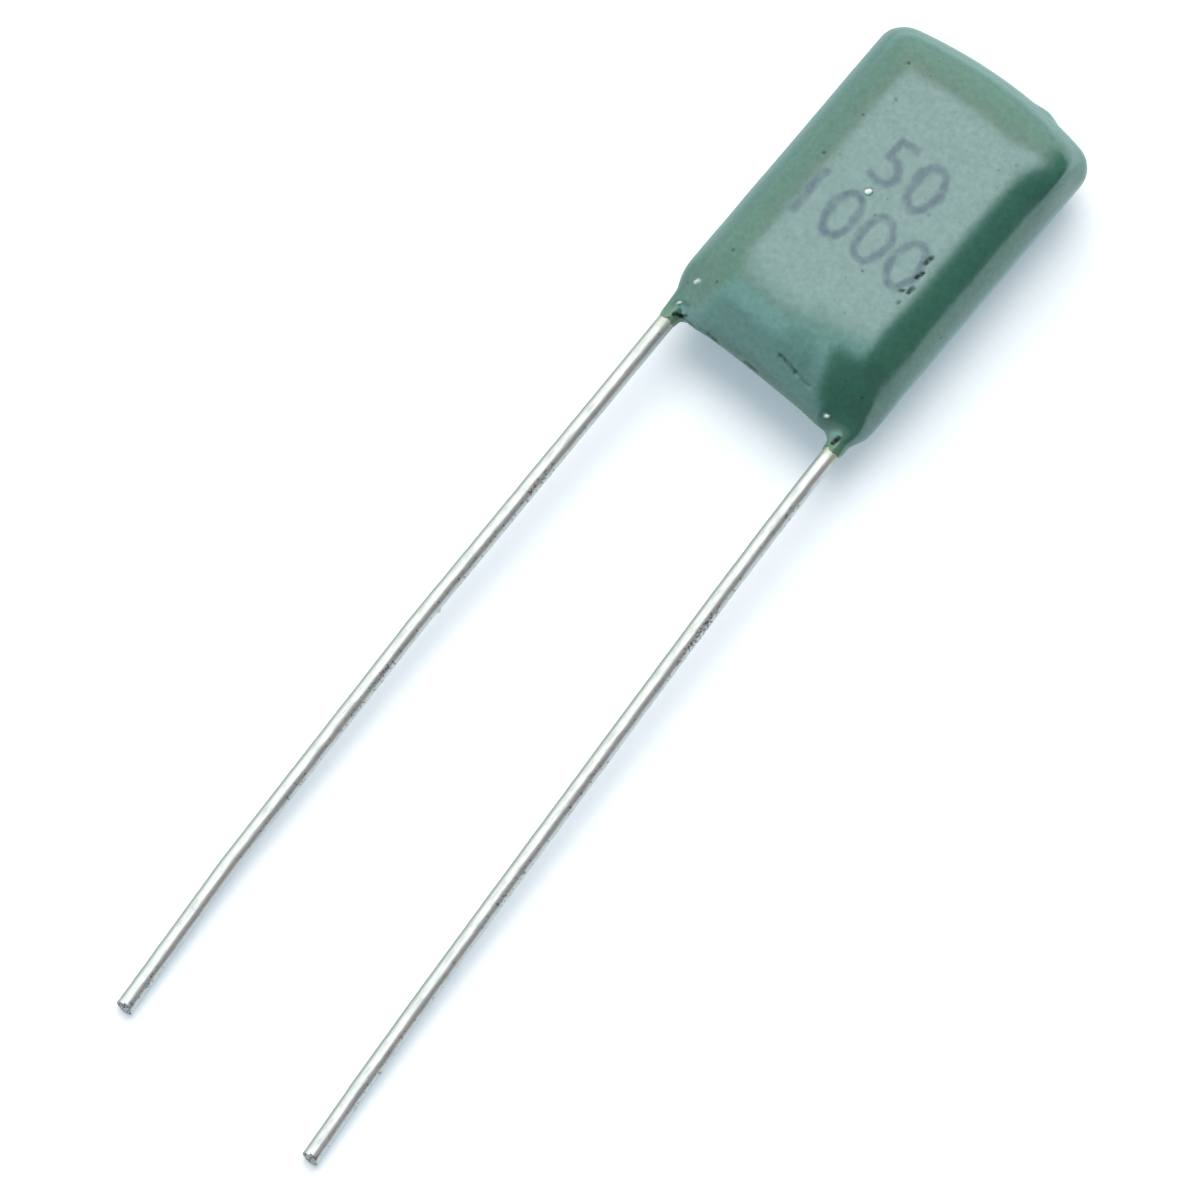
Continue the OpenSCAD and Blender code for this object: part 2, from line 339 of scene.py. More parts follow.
def dipped_epoxy(coating, marking):
    """Dipped green epoxy: glossy, slowly changing in tone, with pinholes, dirt and painted shade in its
    pits, painted highlights and worn ink.
    """
    material, tree, output, place = new_material("dipped_epoxy")
    tone = add_node(tree, "ShaderNodeTexNoise", {"Vector": place, "Scale": 1 / 1.8, "Detail": 3.0})
    green = add_node(
        tree, "ShaderNodeMix",
        {0: tone.outputs["Fac"], 6: coating.green_deep, 7: coating.green_thin}, data_type="RGBA")
    grain = add_node(
        tree, "ShaderNodeTexNoise", {"Vector": place, "Scale": 1 / 0.16, "Detail": 3.0, "Roughness": 0.65})
    mottle = add_node(
        tree, "ShaderNodeMapRange",
        {"Value": grain.outputs["Fac"], "From Min": 0.3, "From Max": 0.7, "To Min": 0.88, "To Max": 1.12})
    green = add_node(
        tree, "ShaderNodeVectorMath",
        {0: green.outputs[2], "Scale": mottle.outputs["Result"]}, operation="SCALE")

    # The dip is thin and yellower where it ends on the leads
    axes = add_node(tree, "ShaderNodeSeparateXYZ", {"Vector": place})
    ragged = add_node(
        tree, "ShaderNodeMath",
        {0: tone.outputs["Fac"], 1: 0.5, 2: axes.outputs["Y"]}, operation="MULTIPLY_ADD")
    ending = add_node(
        tree, "ShaderNodeMapRange",
        {"Value": ragged.outputs["Value"], "From Min": COAT_LOW.y + 0.65, "From Max": COAT_LOW.y + 0.2,
         "To Max": 0.5})
    green = add_node(
        tree, "ShaderNodeMix",
        {0: ending.outputs["Result"], 6: green.outputs["Vector"], 7: coating.green_end}, data_type="RGBA")

    # Ink is thin, and has worn off in spots
    worn = add_node(
        tree, "ShaderNodeTexNoise", {"Vector": place, "Scale": 1 / 0.24, "Detail": 3.0, "Roughness": 0.6})
    wear = add_node(
        tree, "ShaderNodeMapRange",
        {"Value": worn.outputs["Fac"], "From Min": 0.3, "From Max": 0.65, "To Min": 0.3, "To Max": 1.0})
    ink = add_node(tree, "ShaderNodeAttribute", attribute_name="ink")
    cover = add_node(
        tree, "ShaderNodeMath", {0: ink.outputs["Fac"], 1: wear.outputs["Result"]}, operation="MULTIPLY")
    skin = add_node(
        tree, "ShaderNodeMix",
        {0: cover.outputs["Value"], 6: green.outputs[2], 7: marking.ink}, data_type="RGBA")

    # Flecks below nought are dirt and painted shade, and above it painted highlights; pinholes are painted
    # shade too, each of its own strength
    fleck = add_node(tree, "ShaderNodeAttribute", attribute_name="fleck")
    glint_painted = add_node(
        tree, "ShaderNodeMix",
        {0: fleck.outputs["Fac"], 6: skin.outputs[2], 7: coating.glint_paint},
        data_type="RGBA", clamp_factor=True)
    crumbs = add_node(tree, "ShaderNodeTexNoise", {"Vector": place, "Scale": 1 / 0.1, "Detail": 1.0})
    patchy = add_node(
        tree, "ShaderNodeMapRange",
        {"Value": crumbs.outputs["Fac"], "From Min": 0.35, "From Max": 0.6, "To Min": -0.75, "To Max": -1.4})
    dirt_and_shade = add_node(
        tree, "ShaderNodeMath", {0: fleck.outputs["Fac"], 1: patchy.outputs["Result"]}, operation="MULTIPLY")
    for apart, most in ((0.9, 0.8), (0.45, 0.7)):
        holes = add_node(tree, "ShaderNodeTexVoronoi", {"Vector": place, "Scale": 1 / apart})
        hole = add_node(
            tree, "ShaderNodeMapRange",
            {"Value": holes.outputs["Distance"], "From Min": 0.075, "From Max": 0.045, "To Max": most})
        hole = add_node(
            tree, "ShaderNodeMath",
            {0: hole.outputs["Result"], 1: holes.outputs["Color"]}, operation="MULTIPLY")
        dirt_and_shade = add_node(
            tree, "ShaderNodeMath",
            {0: dirt_and_shade.outputs["Value"], 1: hole.outputs["Value"]}, operation="MAXIMUM")
    skin = add_node(
        tree, "ShaderNodeMix",
        {0: dirt_and_shade.outputs["Value"], 6: glint_painted.outputs[2], 7: coating.grime_and_shade},
        data_type="RGBA", clamp_factor=True)

    # Ink is duller than the skin, and dirt and painted shade have no gloss, so that they show dark
    gloss = add_node(
        tree, "ShaderNodeMapRange",
        {"Value": cover.outputs["Value"], "To Min": 0.24, "To Max": 0.46})
    sheen = add_node(
        tree, "ShaderNodeMapRange", {"Value": dirt_and_shade.outputs["Value"], "To Min": 1.0, "To Max": 0.1})
    sheen = add_node(
        tree, "ShaderNodeMath",
        {0: sheen.outputs["Result"], 1: mottle.outputs["Result"]}, operation="MULTIPLY")
    bump = add_node(
        tree, "ShaderNodeBump",
        {"Height": grain.outputs["Fac"], "Strength": 0.5, "Distance": 0.004 * MM})
    shader = add_node(
        tree, "ShaderNodeBsdfPrincipled",
        {"Base Color": skin.outputs[2], "Roughness": gloss.outputs["Result"], "IOR": 1.6,
         "Specular IOR Level": sheen.outputs["Value"], "Normal": bump.outputs["Normal"]})
    tree.links.new(shader.outputs["BSDF"], output.inputs["Surface"])
    return material


def tinned_wire(leads):
    """Tinned wire: soft grey metal with drawing lines, flanks painted dull as shade, black specks and a film
    of epoxy.
    """
    material, tree, output, place = new_material("tinned_wire")
    lines = add_node(tree, "ShaderNodeMapping", {"Vector": place, "Scale": (1.0, 0.05, 1.0)})
    drawn = add_node(
        tree, "ShaderNodeTexNoise", {"Vector": lines.outputs["Vector"], "Scale": 1 / 0.05, "Detail": 3.0})
    rubbed = add_node(
        tree, "ShaderNodeTexNoise", {"Vector": place, "Scale": 1 / 0.5, "Detail": 4.0, "Roughness": 0.65})
    both = add_node(
        tree, "ShaderNodeMath", {0: drawn.outputs["Fac"], 1: rubbed.outputs["Fac"]}, operation="ADD")
    share = add_node(
        tree, "ShaderNodeMapRange",
        {"Value": both.outputs["Value"], "From Min": 0.85, "From Max": 1.25, "To Max": 0.5})
    share = share.outputs["Result"]

    # The flanks are painted dull, as painted shade, the left one more
    facing = add_node(tree, "ShaderNodeNewGeometry")
    facing = add_node(tree, "ShaderNodeSeparateXYZ", {"Vector": facing.outputs["Normal"]})
    for start, stop, most in ((-0.4, -0.85, 1.0), (0.7, 0.95, 0.35)):
        flank_shade = add_node(
            tree, "ShaderNodeMapRange",
            {"Value": facing.outputs["X"], "From Min": start, "From Max": stop, "To Max": most})
        share = add_node(
            tree, "ShaderNodeMath", {0: share, 1: flank_shade.outputs["Result"]}, operation="MAXIMUM")
        share = share.outputs["Value"]
    metal = add_node(
        tree, "ShaderNodeMix", {0: share, 6: leads.tin, 7: leads.dull_and_shade}, data_type="RGBA")

    # Black specks sit on the right flank, in some stretches of the wire
    fine = add_node(tree, "ShaderNodeTexNoise", {"Vector": place, "Scale": 1 / 0.09, "Detail": 1.0})
    where = add_node(tree, "ShaderNodeTexNoise", {"Vector": place, "Scale": 1 / 2.2, "Detail": 1.0})
    speck = add_node(
        tree, "ShaderNodeMath",
        {0: where.outputs["Fac"], 1: 0.5, 2: fine.outputs["Fac"]}, operation="MULTIPLY_ADD")
    speck = add_node(
        tree, "ShaderNodeMapRange",
        {"Value": speck.outputs["Value"], "From Min": 0.9, "From Max": 0.96, "To Max": 0.65})
    right = add_node(
        tree, "ShaderNodeMapRange", {"Value": facing.outputs["X"], "From Min": 0.15, "From Max": 0.5})
    speck = add_node(
        tree, "ShaderNodeMath",
        {0: speck.outputs["Result"], 1: right.outputs["Result"]}, operation="MULTIPLY")
    metal = add_node(
        tree, "ShaderNodeMix",
        {0: speck.outputs["Value"], 6: metal.outputs[2], 7: leads.speck}, data_type="RGBA")

    # The film thins out over the first stretch past the foot, in tongues
    axes = add_node(tree, "ShaderNodeSeparateXYZ", {"Vector": place})
    ragged = add_node(
        tree, "ShaderNodeMath",
        {0: rubbed.outputs["Fac"], 1: 0.9, 2: axes.outputs["Y"]}, operation="MULTIPLY_ADD")
    film = add_node(
        tree, "ShaderNodeMapRange",
        {"Value": ragged.outputs["Value"], "From Min": COAT_LOW.y + 0.05, "From Max": COAT_LOW.y + 0.6,
         "To Max": 0.75})
    coated = add_node(
        tree, "ShaderNodeMix",
        {0: film.outputs["Result"], 6: metal.outputs[2], 7: leads.film}, data_type="RGBA")
    bare = add_node(
        tree, "ShaderNodeMapRange", {"Value": film.outputs["Result"], "To Min": 0.8, "To Max": 0.4})
    rough = add_node(
        tree, "ShaderNodeMapRange", {"Value": share, "To Min": 0.38, "To Max": 0.5})
    bump = add_node(
        tree, "ShaderNodeBump",
        {"Height": both.outputs["Value"], "Strength": 0.7, "Distance": 0.006 * MM})
    shader = add_node(
        tree, "ShaderNodeBsdfPrincipled",
        {"Base Color": coated.outputs[2], "Metallic": bare.outputs["Result"],
         "Roughness": rough.outputs["Result"], "Normal": bump.outputs["Normal"]})
    tree.links.new(shader.outputs["BSDF"], output.inputs["Surface"])
    return material


def sheared_metal(leads):
    """The raw end of a sheared wire: rough metal, torn into fine ridges of light and dark."""
    material, tree, output, place = new_material("sheared_metal")
    torn = add_node(
        tree, "ShaderNodeTexNoise", {"Vector": place, "Scale": 1 / 0.06, "Detail": 4.0, "Roughness": 0.7})
    patch = add_node(
        tree, "ShaderNodeMapRange", {"Value": torn.outputs["Fac"], "From Min": 0.4, "From Max": 0.65})
    grey = add_node(
        tree, "ShaderNodeMix",
        {0: patch.outputs["Result"], 6: leads.torn, 7: leads.tin}, data_type="RGBA")
    bump = add_node(
        tree, "ShaderNodeBump",
        {"Height": torn.outputs["Fac"], "Strength": 0.8, "Distance": 0.03 * MM})
    shader = add_node(
        tree, "ShaderNodeBsdfPrincipled",
        {"Base Color": grey.outputs[2], "Metallic": 0.6, "Roughness": 0.6, "Normal": bump.outputs["Normal"]})
    tree.links.new(shader.outputs["BSDF"], output.inputs["Surface"])
    return material


def wound_film(winding):
    """Wound polyester film over foil: pale and satin, with the edges of its turns showing as fine lines."""
    material, tree, output, place = new_material("wound_film")
    turns = add_node(tree, "ShaderNodeTexWave", {"Vector": place, "Scale": 1 / 0.4, "Distortion": 1.0})
    shade = add_node(
        tree, "ShaderNodeMix",
        {0: turns.outputs["Fac"], 6: winding.film, 7: winding.turn}, data_type="RGBA")
    shader = add_node(
        tree, "ShaderNodeBsdfPrincipled",
        {"Base Color": shade.outputs[2], "Roughness": 0.3, "IOR": 1.6})
    tree.links.new(shader.outputs["BSDF"], output.inputs["Surface"])
    return material


def white_paper(stage):
    """White paper: flat white, lifted to plain white for what looks at it, with the part's shadow kept."""
    material, tree, output, place = new_material("white_paper")
    path = add_node(tree, "ShaderNodeLightPath")
    seen = add_node(
        tree, "ShaderNodeMath",
        {0: path.outputs["Is Camera Ray"], 1: path.outputs["Is Transmission Ray"]}, operation="MAXIMUM")
    lift = add_node(
        tree, "ShaderNodeMath", {0: seen.outputs["Value"], 1: stage.glow_level}, operation="MULTIPLY")
    paper = add_node(tree, "ShaderNodeBsdfDiffuse", {"Color": stage.floor})
    glow = add_node(
        tree, "ShaderNodeEmission", {"Color": stage.floor_glow, "Strength": lift.outputs["Value"]})
    plain = add_node(tree, "ShaderNodeAddShader", {0: paper.outputs["BSDF"], 1: glow.outputs["Emission"]})

    # The gloss mirrors the paper dimmer and cooler than it is, and dimmest close beside the body's left
    # edge, where a contact shadow is painted in
    axes = add_node(tree, "ShaderNodeSeparateXYZ", {"Vector": place})
    left = COAT_LOW.x
    level = stage.edge_shadow_level
    for along, start, stop in (
            ("X", left - 0.2, left - 1.7), ("X", -1.0, 1.0), ("Y", 4.2, 5.6), ("Y", -5.5, -6.5)):
        clear = add_node(
            tree, "ShaderNodeMapRange", {"Value": axes.outputs[along], "From Min": start, "From Max": stop})
        level = add_node(
            tree, "ShaderNodeMath", {0: level, 1: clear.outputs["Result"]}, operation="MAXIMUM")
        level = level.outputs["Value"]

    # A pool of light is painted in: the paper is brightest some way beyond the top edge, and dims again
    # further off
    for start, stop, far in ((7.0, 9.5, 1.6), (11.0, 17.0, 0.7)):
        change = add_node(
            tree, "ShaderNodeMapRange",
            {"Value": axes.outputs["Y"], "From Min": start, "From Max": stop, "To Min": 1.0, "To Max": far})
        level = add_node(
            tree, "ShaderNodeMath", {0: level, 1: change.outputs["Result"]}, operation="MULTIPLY")
        level = level.outputs["Value"]
    paper = add_node(
        tree, "ShaderNodeVectorMath", {0: stage.floor_mirrored[:3], "Scale": level}, operation="SCALE")
    paper = add_node(tree, "ShaderNodeBsdfDiffuse", {"Color": paper.outputs["Vector"]})
    glow = add_node(
        tree, "ShaderNodeMath",
        {0: level, 1: stage.glow_mirrored * stage.glow_level}, operation="MULTIPLY")
    glow = add_node(
        tree, "ShaderNodeEmission", {"Color": stage.mirrored_glow, "Strength": glow.outputs["Value"]})
    mirrored = add_node(tree, "ShaderNodeAddShader", {0: paper.outputs["BSDF"], 1: glow.outputs["Emission"]})
    both = add_node(
        tree, "ShaderNodeMixShader",
        {0: path.outputs["Is Glossy Ray"], 1: plain.outputs["Shader"], 2: mirrored.outputs["Shader"]})
    tree.links.new(both.outputs["Shader"], output.inputs["Surface"])
    return material


def soft_studio(stage):
    """A soft key light from behind on the left, and the walls and light box that the gloss mirrors."""
    world = bpy.data.worlds.new("soft_studio")
    world.use_nodes = True
    tree = world.node_tree
    tree.nodes.clear()
    output = add_node(tree, "ShaderNodeOutputWorld")
    coords = add_node(tree, "ShaderNodeTexCoord")
    way = coords.outputs["Generated"]
    axes = add_node(tree, "ShaderNodeSeparateXYZ", {"Vector": way})
    smooth = {"interpolation_type": "SMOOTHSTEP"}

    # What lights the part and the paper; the key's rim and core are cosines of the angle from its middle
    key_rim, key_core = 0.84, 0.985
    toward_key = add_node(
        tree, "ShaderNodeVectorMath",
        {0: way, 1: Vector(stage.key_from).normalized()}, operation="DOT_PRODUCT")
    key_share = add_node(
        tree, "ShaderNodeMapRange",
        {"Value": toward_key.outputs["Value"], "From Min": key_rim, "From Max": key_core}, **smooth)
    key = add_node(tree, "ShaderNodeBackground", {"Color": stage.key, "Strength": stage.key_level})
    fill = add_node(tree, "ShaderNodeBackground", {"Color": stage.fill, "Strength": stage.fill_level})
    light = add_node(
        tree, "ShaderNodeMixShader",
        {0: key_share.outputs["Result"], 1: fill.outputs["Background"], 2: key.outputs["Background"]})

    # What the gloss mirrors: a bright wall, brighter and bluer towards the leads but dimmer low down there,
    # and a dim wall on the right
    back_left = (-1.3, 1.0, 0.0)
    back_end, front_end = 0.45, -0.1
    dim_from, bright_from = 0.26, -0.08
    behind = add_node(tree, "ShaderNodeVectorMath", {0: way, 1: back_left}, operation="DOT_PRODUCT")
    behind = behind.outputs["Value"]
    level = 1.0
    for along, start, stop, low, high in (
            (axes.outputs["Z"], 0.0, 0.5, 1.05, 1.0),
            (behind, back_end, front_end, 1.0, 1.7),
            (axes.outputs["Y"], -0.65, -0.98, 1.0, 0.62),
            (axes.outputs["Y"], 0.55, 0.9, 1.0, 1.15)):
        change = add_node(
            tree, "ShaderNodeMapRange",
            {"Value": along, "From Min": start, "From Max": stop, "To Min": low, "To Max": high}, **smooth)
        level = add_node(
            tree, "ShaderNodeMath", {0: level, 1: change.outputs["Result"]}, operation="MULTIPLY")
        level = level.outputs["Value"]
    front = add_node(
        tree, "ShaderNodeMapRange",
        {"Value": behind, "From Min": back_end, "From Max": front_end}, **smooth)
    tint = add_node(
        tree, "ShaderNodeMix",
        {0: front.outputs["Result"], 6: stage.mirrored, 7: stage.mirrored_front}, data_type="RGBA")
    bright = add_node(tree, "ShaderNodeVectorMath", {0: tint.outputs[2], "Scale": level}, operation="SCALE")
    side = add_node(
        tree, "ShaderNodeMapRange",
        {"Value": axes.outputs["X"], "From Min": dim_from, "From Max": bright_from}, **smooth)
    wall = add_node(
        tree, "ShaderNodeMix",
        {0: side.outputs["Result"], 6: stage.mirrored_dim, 7: bright.outputs["Vector"]}, data_type="RGBA")
    walls = add_node(
        tree, "ShaderNodeBackground", {"Color": wall.outputs[2], "Strength": stage.mirror_level})

    # The light box stands where the flat face mirrors it into the camera, with a soft rim
    rim_outer, rim_inner = 0.22, 0.07
    toward_box = add_node(
        tree, "ShaderNodeVectorMath", {0: way, 1: stage.box_from}, operation="DOT_PRODUCT")
    near = add_node(
        tree, "ShaderNodeMapRange",
        {"Value": toward_box.outputs["Value"], "From Min": math.cos(rim_outer),
         "From Max": math.cos(rim_inner)}, **smooth)
    glow = add_node(
        tree, "ShaderNodeMath", {0: near.outputs["Result"], 1: stage.box_level}, operation="MULTIPLY")
    box = add_node(
        tree, "ShaderNodeBackground", {"Color": stage.mirrored_box, "Strength": glow.outputs["Value"]})
    mirrored = add_node(
        tree, "ShaderNodeAddShader", {0: walls.outputs["Background"], 1: box.outputs["Background"]})
    path = add_node(tree, "ShaderNodeLightPath")
    both = add_node(
        tree, "ShaderNodeMixShader",
        {0: path.outputs["Is Glossy Ray"], 1: light.outputs["Shader"], 2: mirrored.outputs["Shader"]})
    tree.links.new(both.outputs["Shader"], output.inputs["Surface"])
    return world


class CAPACITOR_OT_stage(bpy.types.Operator):
    """Sets out the white floor, the soft lights and the camera"""
    bl_idname = "capacitor.stage"
    bl_label = "Stage"

    def execute(self, context):
        stage = context.scene.capacitor.stage
        start_clean()
        bpy.ops.mesh.primitive_plane_add(size=2.0, location=(0, 0, 0))
        floor = context.object
        floor.name = "floor"
        floor.data.materials.append(white_paper(stage))

        around, above = stage.azimuth, stage.elevation
        back = Vector((
            math.sin(around) * math.cos(above), -math.cos(around) * math.cos(above), math.sin(above)))
        bpy.ops.object.camera_add(location=Vector(stage.look) + back * stage.distance)
        camera = context.object
        camera.rotation_euler = back.to_track_quat("Z", "Y").to_euler()
        camera.data.lens = 300
        camera.data.sensor_width = 36
        camera.data.clip_start = 0.01
        context.scene.camera = camera

        context.scene.world = soft_studio(stage)
        context.scene.view_settings.view_transform = "Standard"
        return {"FINISHED"}


class CAPACITOR_OT_coating(bpy.types.Operator):
    """Lays the dipped epoxy skin over the CAD coating"""
    bl_idname = "capacitor.coating"
    bl_label = "Coating"

    def execute(self, context):
        settings = context.scene.capacitor
        coating = settings.coating
        node = frame["nodes"]["coating"]
        start_clean()
        skin = bpy.data.objects.new("dipped_coating", node.data.copy())
        context.scene.collection.objects.link(skin)
        take(skin)
        skin.scale = (1 / MM, 1 / MM, 1 / MM)
        bpy.ops.object.transform_apply(location=True, rotation=True, scale=True)
        bpy.ops.object.mode_set(mode="EDIT")
        bpy.ops.mesh.select_all(action="SELECT")
        bpy.ops.mesh.remove_doubles(threshold=0.0002)

        # The bores go, so that the outer skin parts from the space inside
        bpy.ops.object.mode_set(mode="OBJECT")
        bore_r = LEAD_R + 0.01

        def in_bore(face):
            return any(
                math.hypot(face.center.x - x, face.center.z - HALF_T) < bore_r for x in LEAD_X.values())

        pick(skin, "polygons", in_bore)
        bpy.ops.mesh.delete(type="FACE")
        bpy.ops.object.mode_set(mode="OBJECT")
        top = max(skin.data.vertices, key=lambda v: v.co.z).index
        pick(skin, "vertices", lambda v: v.index == top)
        bpy.ops.mesh.select_linked()
        bpy.ops.mesh.select_all(action="INVERT")
        bpy.ops.mesh.delete(type="VERT")
        bpy.ops.mesh.select_all(action="SELECT")
        bpy.ops.mesh.fill_holes(sides=0)
        bpy.ops.mesh.quads_convert_to_tris()
        bpy.ops.object.mode_set(mode="OBJECT")

        apply(skin, "REMESH", mode="VOXEL", voxel_size=coating.skin_grid / MM)
        apply(skin, "SMOOTH", factor=0.5, iterations=14)
        self.shape(skin, coating)

        # The epoxy ends on each lead in uneven tongues
        reach = coating.drip_reach / MM
        tongues = skin.vertex_groups.new(name="tongues")
        for vertex in skin.data.vertices:
            above = vertex.co.y - COAT_LOW.y
            if above < reach:
                tongues.add([vertex.index], 1 - above / reach, "REPLACE")
        drip = bpy.data.textures.new("drip", "CLOUDS")
        drip.noise_scale = coating.drip_size / MM
        apply(
            skin, "DISPLACE", texture=drip, texture_coords="LOCAL", mid_level=0.5, direction="Y",
            strength=coating.drip_length / MM, vertex_group="tongues")
        skin.vertex_groups.clear()

        # Slow swells and orange peel, as a dip sets
        swell = bpy.data.textures.new("swell", "CLOUDS")
        swell.noise_scale = coating.swell_size / MM
        apply(
            skin, "DISPLACE", texture=swell, texture_coords="LOCAL", mid_level=0.5,
            strength=coating.swell_height / MM)
        peel = bpy.data.textures.new("peel", "CLOUDS")
        peel.noise_scale = coating.peel_size / MM
        apply(
            skin, "DISPLACE", texture=peel, texture_coords="LOCAL", mid_level=0.5,
            strength=coating.peel_height / MM)

        self.mark_flaws(skin)

        # What has swelled below the table is pressed flat again
        pick(skin, "vertices", lambda v: v.co.z < 0)
        bpy.ops.transform.resize(value=(1, 1, 0), center_override=(0, 0, 0))
        bpy.ops.object.mode_set(mode="OBJECT")
        finish_piece(skin, "dipped_coating", "epoxy", dipped_epoxy(coating, settings.marking), "coating")
        return {"FINISHED"}

    def shape(self, skin, coating):
        """The dip's own unevenness: a full shoulder and lower left, the lip drawn out and its underside in,
        a hollow beside the right foot, and a swelling and a nick in the top edge."""
        top = COAT_HIGH.z

        # Where each of them starts and where it is full, in millimetres
        shoulder_inner, shoulder_outer = (1.6, 2.2), (3.5, 3.1)
        shoulder_low, shoulder_high = (2.4, 3.6), (4.5, 3.6)
        left_inner, left_outer = (1.4, -0.4), (-2.8, -2.0)
        left_high, left_low = (-2.4, -3.4), (-5.7, -4.2)
        lip_along, lip_across, lip_front = (-5.15, -5.95), (2.9, 2.0), (HALF_T, HALF_T + 0.25)
        under_along, under_across, under_back = (-4.4, -5.5), (2.6, 1.9), (HALF_T + 0.2, HALF_T - 0.8)
        hollow_aslant, hollow_high, hollow_low = (1.1, 2.7), (-3.7, -4.5), (-6.0, -5.0)
        hollow_slant, hollow_y = 0.4, -4.1
        pillow_front, pillow_low = (HALF_T + 0.2, HALF_T + 0.8), (-5.4, -4.7)
        crisp_inner, crisp_high = (1.9, 2.6), (-4.1, -4.7)

        def shoulder(v):
            across = fade(v.co.x, *shoulder_inner) * fade(v.co.x, *shoulder_outer)
            along = fade(v.co.y, *shoulder_low) * fade(v.co.y, *shoulder_high)
            return (top - v.co.z) / HALF_T * across * along

        def lower_left(v):
            across = fade(v.co.x, *left_inner) * fade(v.co.x, *left_outer)
            along = fade(v.co.y, *left_high) * fade(v.co.y, *left_low)
            return (top - v.co.z) / HALF_T * across * along

        def on_front(rule):
            return lambda v: rule(v) * fade(v.co.z, HALF_T, HALF_T + 0.5)

        def under_lip(v):
            return fade(v.co.y, *under_along) * fade(abs(v.co.x), *under_across) * fade(v.co.z, *under_back)

        def lip(v):
            return fade(v.co.y, *lip_along) * fade(abs(v.co.x), *lip_across) * fade(v.co.z, *lip_front)

        def lower_right(v):
            aslant = v.co.x + hollow_slant * (v.co.y - hollow_y)
            return fade(aslant, *hollow_aslant) * fade(v.co.y, *hollow_high) * fade(v.co.y, *hollow_low)

        press(skin, "Z", coating.fullness * HALF_T, on_front(shoulder))
        press(skin, "Z", coating.fullness * HALF_T, on_front(lower_left))
        press(skin, "Y", coating.lip_under / MM, under_lip)
        press(skin, "Y", -coating.lip_out / MM, lip)
        press(skin, "Z", coating.lip_up / MM, lip)

        # The front is a pillow: its flat runs softly into the sides, but less so at the hollow
        pillow = skin.vertex_groups.new(name="pillow")
        for vertex in skin.data.vertices:
            share = fade(vertex.co.z, *pillow_front) * fade(vertex.co.y, *pillow_low)
            share *= 1 - fade(vertex.co.x, *crisp_inner) * fade(vertex.co.y, *crisp_high)
            if share:
                pillow.add([vertex.index], share, "REPLACE")
        apply(skin, "SMOOTH", factor=0.5, iterations=coating.pillow, vertex_group="pillow")
        skin.vertex_groups.clear()
        press(skin, "Z", -coating.hollow / MM, lower_right)

        # The swelling and the nick in the top edge, and the corner outside the right foot, which is drawn in
        for shift, reach, place in (
                ((0.02, 0.09, 0), 0.6, (1.5, 5.0, HALF_T + 0.1)),
                ((0, -0.07, 0), 0.22, (2.06, 4.9, HALF_T + 0.2)),
                ((-0.1, 0.06, 0), 0.9, (3.35, -5.35, HALF_T + 0.2))):
            coax(skin, shift, reach, place)

    def mark_flaws(self, skin):
        """Pits, beads, dirt and creases, as strokes that are dropped on the front, with painted shade and
        painted highlights.
        """
        # Start, end, reach, height and tone: a height below nought is a pit, a tone below nought darkens the
        # skin and one above it is a painted highlight; the groups below say which darkening is dirt and
        # which is painted shade
        strokes = (
            # Pits beside the figures, painted dark as the shade in them
            ((1.83, -0.78), (1.86, -0.55), 0.07, -0.015, -1.0),
            ((1.88, -1.28), (1.96, -1.03), 0.06, -0.015, -1.0),
            ((1.98, -1.74), (2.02, -1.56), 0.07, -0.015, -0.9),
            ((1.78, -1.83), (1.86, -1.78), 0.06, -0.01, -0.9),
            ((1.96, -2.15), (1.96, -2.11), 0.06, -0.01, -0.7),
            # The crease above the lip, painted dark as the shade in it, and two scratches further up
            ((0.34, -5.25), (0.95, -5.33), 0.08, -0.025, -0.5),
            ((0.95, -5.33), (1.43, -5.39), 0.07, -0.02, -0.3),
            ((0.68, -4.36), (1.26, -4.02), 0.06, 0.0, -0.12),
            ((-0.23, -4.43), (0.0, -4.06), 0.06, 0.0, -0.12),
            # Beads, with painted highlights on them
            ((-0.71, -0.2), (-0.68, -0.17), 0.08, 0.05, 2.0),
            ((2.3, -5.67), (2.32, -5.65), 0.06, 0.04, 1.4),
            ((-2.9, -5.06), (-2.84, -4.97), 0.07, 0.04, 0.8),
            ((-2.97, -5.72), (-2.93, -5.68), 0.06, 0.03, 0.7),
            # Dirt at the left foot
            ((-2.84, -6.04), (-2.8, -6.0), 0.09, 0.0, -1.0),
            ((-2.7, -5.95), (-2.64, -5.93), 0.08, 0.0, -1.0),
            ((-2.58, -5.88), (-2.56, -5.86), 0.07, 0.0, -0.8),
            ((-3.0, -5.7), (-2.7, -5.6), 0.1, 0.0, -0.3),
            # Dirt at the right foot, and a painted highlight spread beside it
            ((2.89, -6.1), (2.93, -5.9), 0.1, 0.0, -1.0),
            ((2.4, -5.82), (2.95, -5.72), 0.24, 0.0, 0.07),
            # Dark along the lip's edge: dirt in spots, and painted shade on the rolled edge
            ((-1.76, -5.9), (-1.45, -5.9), 0.07, -0.01, -0.55),
            ((-0.42, -5.87), (0.0, -5.87), 0.08, -0.01, -0.65),
        )
        front = BVHTree.FromObject(skin, bpy.context.evaluated_depsgraph_get())

        def drop(place):
            hit = front.ray_cast(Vector((*place, 2 * COAT_HIGH.z)), Vector((0, 0, -1)))[0]
            if hit is None:
                raise RuntimeError("A flaw lies off the skin")
            return hit

